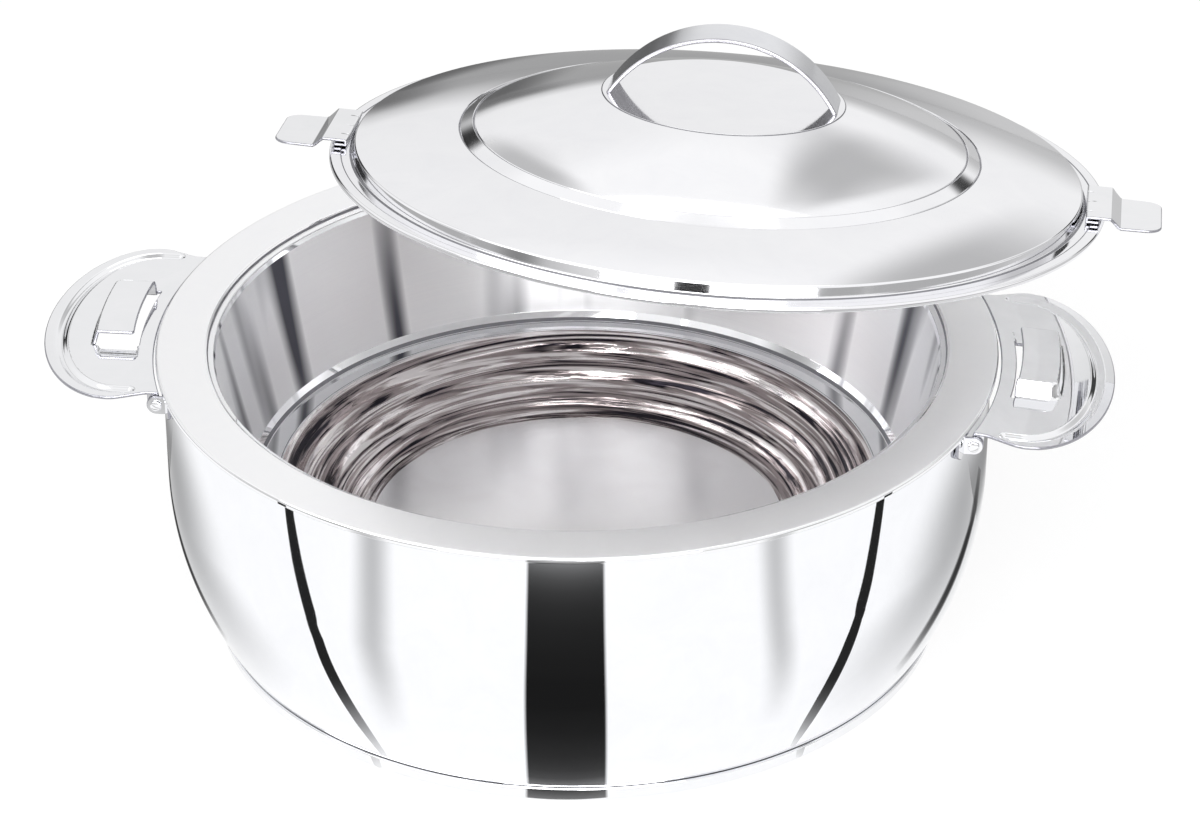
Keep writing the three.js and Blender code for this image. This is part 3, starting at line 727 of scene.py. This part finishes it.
plate = handlePlate()
bracket = bracketParts()
for label, turn, droop in (("right", 0, handle["droop"]), ("left", math.pi, 0)):
    about = Matrix.Rotation(turn, 4, "Z")
    pivot = Vector((handle["pivot"], 0, handle["pivotHeight"])) * mm
    swing = Matrix.Rotation(math.radians(droop), 4, "Y")
    hang = about @ Matrix.Translation(pivot) @ swing @ Matrix.Translation(-pivot)
    piece = cutPiece(f"handle{label.title()}", plate, hang)
    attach(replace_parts(piece, f"handle_{label}"), f"handle_{label}")
    for end, side in (("front", -1), ("back", 1)):
        across = side if turn == 0 else -side
        part = bracket if across > 0 else mirrored(bracket)
        piece = cutPiece(f"bracket{label.title()}{end.title()}", part, about)
        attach(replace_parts(piece, f"bracket_{label}_{end}"), "bowl")
        lay = about @ Matrix.Translation(pivot) @ Matrix.Rotation(-across * math.pi / 2, 4, "X")
        name = f"rivet{label.title()}{end.title()}"
        piece = turnedPiece(name, rivetCorners(), [mirror], sides=rivet["sides"], place=lay)
        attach(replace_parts(piece, f"rivet_{label}_{end}"), "bowl")
print("side handles made")

# the lid, in mm and degrees

lid = {
    "sheet": 1, "linerSheet": 0.8, "radius": 135.6, "flangeTop": 2.1, "crown": 0.7, "sides": 320,
    "disc": (43.8, 29.2), "stepInner": (86.1, 15.3), "stepOuter": (90.9, 12.9), "shoulder": (127.1, 6.2),
    "dishDepth": 7, "dish": 103, "dishEdge": 121, "dishRound": 4, "liner": 134.3, "linerEdge": 0.25,
    "place": (44.05, 51.03, 144.537), "lean": 9.114, "leansTowards": 70.35, "turn": -1.5,
}
lidForm = {
    "discSteps": [(-1.6, 0, 0.3), (-1.2, -0.3, 0.2), (0, -0.6, 0.7)],  # from the edge of the top disc
    "shoulderRound": 0.9, "shoulderSteps": [(0.5, 0.3, 0.5), (1.6, -0.15, 0.4)],  # to the top of the flange
    "flangeSteps": [(-4.2, -0.15, 0.4), (-3.8, 0, 0.4), (0, 0, 0.9)],  # from its outer edge
    "creaseSteps": [(-0.42, -0.02, 0.12), (-0.22, -0.28, 0.1), (0.22, -0.28, 0.1), (0.42, -0.02, 0.12)],
    "creaseHalf": 0.24, "flangeFoot": 0.2,
}


def lidPlace():
    towards = math.radians(lid["leansTowards"])
    leanAxis = Vector((-math.sin(towards), math.cos(towards), 0))
    lean = Matrix.Rotation(math.radians(lid["lean"]), 4, leanAxis)
    turn = Matrix.Rotation(math.radians(lid["turn"]), 4, "Z")
    return Matrix.Translation(Vector(lid["place"]) * mm) @ lean @ turn


def crowned(start, end, rise, steps=10):
    # points between two places on a ring that bulges outwards
    (x0, z0), (x1, z1) = start, end
    length = math.dist(start, end)
    up = ((z0 - z1) / length, (x1 - x0) / length)
    made = []
    for i in range(1, steps):
        t = i / steps
        bulge = 4 * t * (1 - t) * rise
        made.append((x0 + (x1 - x0) * t + up[0] * bulge, z0 + (z1 - z0) * t + up[1] * bulge, 0))
    return made


def makeLidShell():
    form = lidForm
    disc, inner, outer, shoulder = (lid[key] for key in ("disc", "stepInner", "stepOuter", "shoulder"))
    line = [(0, disc[1], 0)] + stepsFrom(*disc, form["discSteps"])
    line += crowned(line[-1][:2], inner, lid["crown"]) + stepsFrom(*inner, form["creaseSteps"])
    line += stepsFrom(*outer, form["creaseSteps"]) + crowned(outer, shoulder, lid["crown"])
    line += [(*shoulder, form["shoulderRound"])]
    line += stepsFrom(shoulder[0], lid["flangeTop"], form["shoulderSteps"])
    line += stepsFrom(lid["radius"], lid["flangeTop"], form["flangeSteps"])
    line += [(lid["radius"], form["flangeFoot"], 0)]
    # painted shade: dark grey rings on the upper face at each crease
    paintedShadeRings = (disc[0] - 1.2, inner[0], outer[0], shoulder[0] + 1, lid["radius"] - 4)

    def steelAt(radius, height, lean):
        inCrease = any(abs(radius - edge) < form["creaseHalf"] for edge in paintedShadeRings)
        return paintedCreaseShade if lean > 0 and inCrease else lidMirror

    corners = sheetCorners(line, lid["sheet"])
    return turnedPiece("lidTop", corners, [lidMirror, paintedCreaseShade], steelAt, lid["sides"], lidPlace())


def makeLidLiner():
    line = [(0, -lid["dishDepth"], 0), (lid["dish"], -lid["dishDepth"], lid["dishRound"]),
            (lid["dishEdge"], 0, lid["dishRound"]), (lid["liner"], 0, 0)]
    corners = sheetCorners(line, -lid["linerSheet"], lid["linerEdge"])
    return turnedPiece("lidLiner", corners, [underSteel], place=lidPlace())


satin = polishedSteel("SatinStrapSteel", "#ecedf0", "#dfe0e6", (0.09, 0.14), 22.0, 0.03)
strapEdge = polishedSteel("StrapEdgeBrushedSteel", "#b9b8bd", "#9b9aa0", (0.24, 0.34), 120.0, 0.15)
strap = {"radius": 46.46, "top": 52.5, "width": 19, "sheet": 1.5, "edge": 0.45, "foot": 0.3, "round": 0.8,
         "spacing": 1.2}


def makeStrap():
    radius, corner = strap["radius"], strap["round"]
    centre = strap["top"] - radius
    reach = radius * math.acos((lid["disc"][1] + strap["foot"] - centre) / radius)
    half = strap["width"] / 2 - strap["edge"]

    def onArc(u, v):
        a = u / radius
        return (radius * math.sin(a), v, centre + radius * math.cos(a))

    loop = filleted([(-reach, -half, corner), (reach, -half, corner), (reach, half, corner),
                     (-reach, half, corner)], True)
    part = bentSheet(onArc, loop, [], strap["sheet"], strap["spacing"], edge=strap["edge"])
    top = sum(len(face) == 3 for face in part[1]) // 2
    zones = [0 if i < top else 1 for i in range(len(part[1]))]
    return finishedMesh("lidStrap", *part, [satin, strapEdge], zones, place=lidPlace())


clip = {
    "sheet": 1, "width": 34.5, "foot": 133.4, "riser": 128.6, "footHeight": 2.4, "plateTop": 5,
    "stepStart": 137.4, "stepEnd": 140.8, "tongueTop": 1.6, "tongue": 155, "edge": 0.35,
    "footBend": 0.5, "bend": 0.9, "risePoints": 12, "spacing": 0.6, "probe": 0.12, "lead": 2,
    "footRound": 0.8, "sideRound": 3, "tongueRound": 5.5, "waistIn": 0.9, "tipIn": 1.6,
    "dartDepth": 0.5, "dartLength": 5.5, "dartHalf": 0.8, "dartRise": 1.2, "dartShares": (-0.62, 0, 0.62),
}


def clipPath():
    bend = clip["bend"]
    line = filleted([
        (clip["foot"], clip["footHeight"], 0), (clip["riser"], clip["footHeight"], clip["footBend"]),
        (clip["riser"], clip["plateTop"], bend), (clip["stepStart"], clip["plateTop"], bend),
        (clip["stepEnd"], clip["tongueTop"], bend), (clip["tongue"] - clip["edge"], clip["tongueTop"], 0),
    ], False)
    lengths = [0]
    for a, b in zip(line, line[1:]):
        lengths.append(lengths[-1] + math.dist(a[:2], b[:2]))
    return np.array(lengths), np.array([p[0] for p in line]), np.array([p[1] for p in line])


def clipPart():
    lengths, across, up = clipPath()
    total = lengths[-1]
    rise = slice(clip["risePoints"])
    start = np.interp(clip["plateTop"] - 0.01, up[rise], lengths[rise])  # where the plate begins
    half = clip["width"] / 2 - clip["edge"]
    waist, tip = half - clip["waistIn"], half - clip["tipIn"]
    stepAt = total - (clip["tongue"] - clip["stepStart"]) - 1

    def onPath(u, v):
        x, z = np.interp(u, lengths, across), np.interp(u, lengths, up)
        past = u - start
        if past > 0:
            left = max(1 - past / clip["dartLength"], 0)
            width = clip["dartHalf"] * max(left, 0.05)
            for share in clip["dartShares"]:
                pinch = math.exp(-((v - share * half) / width) ** 2)
                z -= clip["dartDepth"] * pinch * left * smooth(past / clip["dartRise"])
        return (x, v, z)

    edges = [(0, half, clip["footRound"]), (stepAt, half, clip["sideRound"]),
             (stepAt + clip["lead"], waist, clip["sideRound"]), (total, tip, clip["tongueRound"])]
    loop = [(u, -v, corner) for u, v, corner in edges] + edges[::-1]
    return bentSheet(onPath, filleted(loop, True), [], clip["sheet"], clip["spacing"], edge=clip["edge"],
                     probe=clip["probe"])


clipMesh = clipPart()


def makeClip(name, turn):
    return cutPiece(name, clipMesh, lidPlace() @ Matrix.Rotation(turn, 4, "Z"))


lidPieces = [
    (makeLidShell(), "lid_shell", "lid", "mirror_steel"),
    (makeLidLiner(), "lid_liner", "lid_inner", "satin_steel"),
    (makeStrap(), "lid_strap", "lid", "mirror_steel"),
    (makeClip("lidClipRight", 0), "lid_clip_right", "lid", "mirror_steel"),
    (makeClip("lidClipLeft", math.pi), "lid_clip_left", "lid", "mirror_steel"),
]
for piece, node, body, slotName in lidPieces:
    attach(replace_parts(piece, node), body)
print("lid made")

for name in ("bowl_foam", "lid_foam"):
    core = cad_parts[name].data
    core.materials.clear()
    core.materials.append(foam)

# the stage


def seenShare(tree):
    # 1 for what the eye, the steel's mirror or a view through sees, else 0
    rays = addNode(tree, "ShaderNodeLightPath").outputs
    seen = worked(tree, "Math", "MAXIMUM", rays["Is Camera Ray"], rays["Is Glossy Ray"])
    return worked(tree, "Math", "MAXIMUM", seen, rays["Is Transmission Ray"])


def mixShaders(tree, output, share, first, second):
    mixed = addNode(tree, "ShaderNodeMixShader", links={0: share, 1: first.outputs[0], 2: second.outputs[0]})
    tree.links.new(mixed.outputs[0], output.inputs["Surface"])


def floorMaterial():
    # white sweep: the eye and the steel see it as white, with a faint shadow under the bowl
    material, tree, output = newMaterial("WhiteSweep")
    share = worked(tree, "Math", "MULTIPLY", seenShare(tree), 0.8)
    paper = addNode(tree, "ShaderNodeBsdfDiffuse", {"Color": linear("#f4f4f4")})
    glow = addNode(tree, "ShaderNodeEmission", {"Color": (1, 1, 1, 1), "Strength": 1.02})
    mixShaders(tree, output, share, paper, glow)
    return material


floorMesh = bpy.data.meshes.new("floor")
floorMesh.from_pydata([(-6, -6, 0), (6, -6, 0), (6, 6, 0), (-6, 6, 0)], [], [[0, 1, 2, 3]])
floorMesh.materials.append(floorMaterial())
newPiece("floor", floorMesh)


def cardMaterial():
    # grey gauze, thick or thin as the colour layer on the mesh says
    material, tree, output = newMaterial("GreyGauze")
    layer = addNode(tree, "ShaderNodeAttribute", attribute_name="shade").outputs
    glow = addNode(tree, "ShaderNodeEmission", links={"Color": layer["Color"]})
    clear = addNode(tree, "ShaderNodeBsdfTransparent")
    mixShaders(tree, output, layer["Alpha"], clear, glow)
    return material


cardPaper = cardMaterial()


def greyCard(name, place, shade, columns=24, rows=24):
    # sheet that only polished metal sees; shade gives its grey before white, from 0 to 1, over the sheet
    spots = [(i / columns, j / rows) for j in range(rows + 1) for i in range(columns + 1)]
    greys = [linearShare(shade(u, v)) for u, v in spots]
    darkest = min(greys)
    wide = columns + 1
    faces = [(j * wide + i, j * wide + i + 1, (j + 1) * wide + i + 1, (j + 1) * wide + i)
             for j in range(rows) for i in range(columns)]
    mesh = bpy.data.meshes.new(name)
    mesh.from_pydata([Vector(place(u, v)) for u, v in spots], [], faces)
    mesh.materials.append(cardPaper)
    layer = mesh.color_attributes.new("shade", "FLOAT_COLOR", "POINT")
    for spot, grey in zip(layer.data, greys):
        spot.color = [darkest] * 3 + [(1 - grey) / (1 - darkest)]
    piece = newPiece(name, mesh)
    piece.visible_camera = False
    piece.visible_diffuse = False
    piece.visible_shadow = False
    piece.visible_transmission = False


def faded(grey, away):
    # the grey where away is 0 or less, white where it is 1 or more
    return grey + (1 - grey) * smooth(away)


def pastEdge(u, softness):
    # from 0 where the soft edge of a card begins to 1 at its end
    return (abs(u - 0.5) * 2 - 1 + softness) / softness


def fromBowl(azimuth, elevation, distance):
    a, e = math.radians(azimuth), math.radians(elevation)
    flat = distance * math.cos(e)
    return (flat * math.cos(a), flat * math.sin(a), distance * math.sin(e) + 0.1)


def rounded(path, cuts):
    # the same path with its corners cut so many times
    for _ in range(cuts):
        path = [path[0]] + [tuple(p + (q - p) * share for p, q in zip(a, b))
                            for a, b in zip(path, path[1:]) for share in (0.25, 0.75)] + [path[-1]]
    return path


def floorStrip(name, path, softness, lift=0.5, cuts=2):
    # path of (x, y, width, grey) in mm along the floor; the grey fades to white at both edges
    path = rounded(path, cuts)
    lengths = [0]
    for a, b in zip(path, path[1:]):
        lengths.append(lengths[-1] + math.dist(a[:2], b[:2]))
    x, y, width, grey = (list(values) for values in zip(*path))

    def along(v):
        return [float(np.interp(v * lengths[-1], lengths, values)) for values in (x, y, width, grey)]

    def place(u, v):
        ahead, back = along(min(v + 0.02, 1)), along(max(v - 0.02, 0))
        way = Vector((ahead[0] - back[0], ahead[1] - back[1], 0)).normalized()
        spot = along(v)
        side = Vector((way.y, -way.x, 0)) * (u - 0.5) * spot[2]
        return (Vector((spot[0], spot[1], lift)) + side) * mm

    greyCard(name, place, lambda u, v: faded(along(v)[3], pastEdge(u, softness)), 24, 48)


def hungCard(name, azimuth, elevation, wide, high, grey, softness, distance):
    # curved card around the bowl, sizes in degrees seen from it, fading to white at its edges
    def place(u, v):
        return fromBowl(azimuth + (u - 0.5) * wide, elevation + (v - 0.5) * high, distance)

    def shade(u, v):
        return faded(grey, math.hypot(*(max(pastEdge(share, softness), 0) for share in (u, v))))

    greyCard(name, place, shade)


def backdropCard():
    # gauze behind the bowl: grey at the floor line, nearly white above
    levels = [(-4, 0.62), (1, 0.65), (4, 0.8), (7, 0.94), (20, 0.955), (34, 0.96), (42, 1)]
    heights, greys = zip(*levels)
    low, high = heights[0], heights[-1]

    def place(u, v):
        return fromBowl(15 + 155 * u, low + (high - low) * v, 2.9)

    def shade(u, v):
        grey = float(np.interp(low + (high - low) * v, heights, greys))
        grey += (1 - grey) * 0.35 * smooth((0.52 - u) / 0.1)  # paler on the right
        return faded(grey, pastEdge(u, 0.5))

    greyCard("backdrop", place, shade, 40, 56)


def roomRing():
    # the grey of the room beyond the paper, low down and right round the bowl
    def far(u, v):
        a, e = math.radians(165 + 215 * u), math.radians(9 * v - 1)
        return (3.1 * math.cos(a), 3.1 * math.sin(a), 3.1 * math.tan(e) + 0.05)

    def onFloor(u, v):
        a, radius = math.tau * u, 0.4 + 2.6 * v * v
        return (radius * math.cos(a), radius * math.sin(a), 0.0001)

    def grey(u, v):
        return faded(faded(0.68, (v - 0.3) / 0.7), pastEdge(u, 0.3))

    greyCard("roomRing", far, grey, 64, 16)
    greyCard("roomFloor", onFloor, lambda u, v: 1 - 0.3 * smooth(v / 0.5), 96, 24)


def ceilingCard():
    # pale grey ceiling, so that level steel isn't lost against the white floor from above
    greyCard("ceiling", lambda u, v: fromBowl(360 * u, 72 + 18 * v, 3),
             lambda u, v: 1 - 0.22 * smooth(v / 0.7), 64, 16)


floorStrips = {  # (x, y, width, grey) in mm along each, then softness, lift and corner cuts
    # the flag before the bowl and two bent strips beside it, as seen in the outer wall
    "frontFlag": ([(9.5, -126.3, 28, 0.5), (9.8, -134, 31, 0.11), (16.5, -262, 74, 0.11),
        (18.8, -300, 86, 0.3), (20, -318, 92, 0.85)], 0.012),
    "leftBand": ([(-275, -146, 12, 0.15), (-240, -145, 12, 0.15), (-211, -146, 12, 0.15),
        (-169, -149.2, 10, 0.15), (-144, -143, 9.6, 0.15), (-121, -135, 8.6, 0.15),
        (-103, -129.2, 7.6, 0.17), (-89, -124.8, 6.6, 0.3), (-72, -119.5, 5, 0.6),
        (-55, -114.5, 2, 0.95)], 0.06, 0.5, 0),
    "rightBand": ([(300, -60, 12, 0.15), (263, -73, 12, 0.15), (222, -87.2, 11, 0.15),
        (202.8, -95, 10, 0.15), (191, -96.3, 9.5, 0.15), (165, -96.8, 9.5, 0.15), (127, -96.6, 7.6, 0.17),
        (113, -96.3, 6.6, 0.3), (97, -95.6, 4.8, 0.6), (85, -95, 2, 0.95)], 0.06, 0.5, 0),
    # softer greys of the room at its sides and behind it
    "leftWedge": ([(-58, -128, 20, 1), (-95, -162, 36, 0.84), (-160, -214, 54, 0.78), (-260, -300, 80, 0.78)],
        1, 0.35),
    "rightWedge": ([(90, -112, 18, 1), (130, -136, 30, 0.86), (190, -178, 44, 0.8), (300, -250, 70, 0.8)],
        1, 0.35),
    "leftSide": ([(-105, -100, 50, 1), (-165, -40, 110, 0.8), (-200, 20, 130, 0.7), (-205, 80, 130, 0.68),
        (-200, 200, 130, 1)], 1, 0.2),
    "rightSide": ([(108, -98, 50, 1), (170, -42, 110, 0.82), (205, 20, 130, 0.72), (210, 80, 130, 0.7),
        (200, 200, 130, 1)], 1, 0.2),
    "leftEdge": ([(-124, -50, 8, 1), (-142, -24, 14, 0.3), (-160, 12, 18, 0.22), (-172, 50, 18, 0.22),
        (-172, 90, 14, 0.8)], 0.7, 0.8),
    "rightEdge": ([(124, -52, 8, 1), (148, -20, 14, 0.3), (168, 16, 18, 0.22), (182, 50, 18, 0.22),
        (184, 95, 14, 0.8)], 0.7, 0.8),
    "backFloor": ([(-250, 240, 1000, 1), (-300, 340, 1300, 0.72), (-420, 700, 1900, 0.66),
        (-1100, 2800, 3400, 0.64)], 0.25),
    "backFloorRight": ([(350, 240, 700, 1), (450, 340, 900, 0.84), (620, 700, 1300, 0.8),
        (1500, 2800, 3000, 0.8)], 0.3, 0.8),
    "backShade": ([(-50, 280, 90, 1), (-100, 420, 150, 0.42), (-640, 2300, 420, 0.4)], 0.6, 1.5),
    "behindBowl": ([(205 * math.cos(a), 205 * math.sin(a), 70, 1 - 0.5 * math.sin(a) ** 0.5)
        for a in np.radians(range(20, 161, 7))], 0.9, 0.25, 0),
}
for name, settings in floorStrips.items():
    floorStrip(name, *settings)
backdropCard()
roomRing()
hungCards = {  # azimuth, elevation, width and height in degrees, grey, softness, metres away
    "backFlag": (106, -1, 12, 12, 0.45, 0.7, 2.4),
    "leftFlag": (124, 6, 24, 30, 0.2, 0.4, 2.5),
    "rightFlag": (57, 8, 16, 24, 0.25, 0.4, 2.5),
    "leftGap": (115, 34, 13, 44, 0.76, 0.8, 2.2),
    "rightGap": (72, 33, 15, 44, 0.74, 0.8, 2.2),
    "roomFront": (270, 8, 13, 18, 0.12, 0.25, 1.15),
    "roomFrontLeft": (214, 8, 22, 40, 0.5, 1, 2.6),
    "roomFrontRight": (335, 4, 26, 34, 0.6, 1, 2.6),
    "roomLeft": (188, 22, 40, 20, 0.68, 0.8, 2.6),
    "roomRight": (33, 15, 44, 50, 0.8, 0.8, 2.6),
}
for name, settings in hungCards.items():
    hungCard(name, *settings)
ceilingCard()
print("stage made")

# light and camera


def makeWorld():
    world = bpy.data.worlds.new("Studio")
    world.use_nodes = True
    tree = world.node_tree
    tree.nodes.clear()
    output = addNode(tree, "ShaderNodeOutputWorld")
    strength = worked(tree, "Math", "MULTIPLY_ADD", seenShare(tree), 0.25, 0.75)
    sky = addNode(tree, "ShaderNodeBackground", {"Color": (1, 1, 1, 1)}, {"Strength": strength})
    tree.links.new(sky.outputs[0], output.inputs["Surface"])
    bpy.context.scene.world = world


def softbox(name, place, aim, size, power):
    light = bpy.data.lights.new(name, "AREA")
    light.shape = "RECTANGLE"
    light.size, light.size_y = size
    light.energy = power
    lamp = newPiece(name, light)
    lamp.location = place
    lamp.rotation_euler = (Vector(aim) - Vector(place)).to_track_quat("-Z", "Y").to_euler()


makeWorld()
softboxes = {  # place, aim, size, watts
    "keySoftbox": ((-0.9, -0.6, 1.3), (0, 0, 0.08), (1.2, 1.0), 6),
    "backSoftbox": ((0.05, 0.9, 1.9), (0.05, 0, 0.12), (1.0, 0.7), 3),
    "frontSoftbox": ((0.2, -1.5, 1.3), (0, 0.1, 0.08), (1.4, 0.9), 18),
    "lowSoftbox": ((0.1, -1.3, 0.28), (0.03, 0.05, 0.14), (1.6, 0.4), 12),
}
for name, settings in softboxes.items():
    softbox(name, *settings)

camera = newPiece("Camera", bpy.data.cameras.new("Camera"))
camera.data.sensor_width, camera.data.lens, camera.data.clip_end = 36, 133.5, 50
camera.location = (0.1411, -1.3341, 0.8508)
camera.rotation_euler = (math.radians(59.98), 0, math.radians(5.7))
bpy.context.scene.camera = camera
bpy.context.scene.view_settings.view_transform = "Standard"
